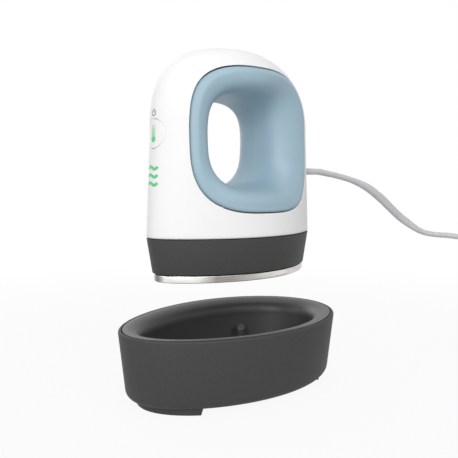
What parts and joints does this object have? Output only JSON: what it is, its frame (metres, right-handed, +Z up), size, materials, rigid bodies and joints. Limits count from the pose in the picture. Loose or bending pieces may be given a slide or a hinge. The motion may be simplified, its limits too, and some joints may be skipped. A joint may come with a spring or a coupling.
{
  "type": "mini heat press",
  "caption": "Handheld mini heat press with a loop handle, front button and flat oval heat plate, held above its oval stand, with a power cord, coil and plug.",
  "frame": {"origin": "centre of the stand's footprint, on the surface it stands on", "axes": "+Z up, +Y along the press towards the cord, -Y towards the button, X across the press"},
  "size_m": [0.1534, 0.2499, 0.1512],
  "materials": {
    "white_shell": "satin",
    "soft_grip": "soft touch",
    "charcoal": "matte",
    "plate_metal": "polished edge, coated face",
    "steel": "plated",
    "element_sheath": "dull",
    "mica": "matte",
    "ceramic": "matte",
    "board_green": "satin",
    "black_plastic": "satin",
    "green_light": "gloss",
    "clear_guide": "gloss",
    "foot_rubber": "matte",
    "cord_grey": "satin",
    "tie_dark": "matte"
  },
  "bodies": {
    "stand": {"stand_tub": "charcoal", "stand_liner": "charcoal", "foot_pad_front": "foot_rubber", "foot_pad_rear": "foot_rubber", "stand_screw_1": "steel", "stand_screw_2": "steel", "stand_screw_3": "steel", "stand_screw_4": "steel", "cord_coil": "cord_grey", "cord_tie": "tie_dark", "plug_body": "cord_grey", "plug_blade_left": "steel", "plug_blade_right": "steel"},
    "press": {"housing": "white_shell", "grip_right": "soft_grip", "grip_left": "soft_grip", "skirt": "charcoal", "soleplate": "plate_metal", "heating_element": "element_sheath", "insulation_board": "mica", "thermal_fuse": "steel", "temperature_sensor": "ceramic", "housing_screw_1": "steel", "housing_screw_2": "steel", "housing_screw_3": "steel", "housing_screw_4": "steel", "plate_screw_1": "steel", "plate_screw_2": "steel", "plate_screw_3": "steel", "plate_screw_4": "steel", "control_board": "board_green", "board_screw_1": "steel", "board_screw_2": "steel", "tact_switch": "black_plastic", "indicator_light_1": "green_light", "indicator_light_2": "green_light", "indicator_light_3": "green_light", "indicator_light_4": "green_light", "light_guide": "clear_guide", "strain_relief": "cord_grey", "cord_drop": "cord_grey"},
    "power_button": {"button": "white_shell"}
  },
  "joints": [
    {"name": "press_lift", "type": "slide", "parent": "stand", "child": "press", "axis": [0, 0, 1], "range_m": [-0.0312, 0.03], "deforming": ["cord_drop"]},
    {"name": "button_press", "type": "slide", "parent": "press", "child": "power_button", "axis": [0, 1, 0], "range_m": [0, 0.0006], "stiffness_N_per_m": 2000}
  ]
}
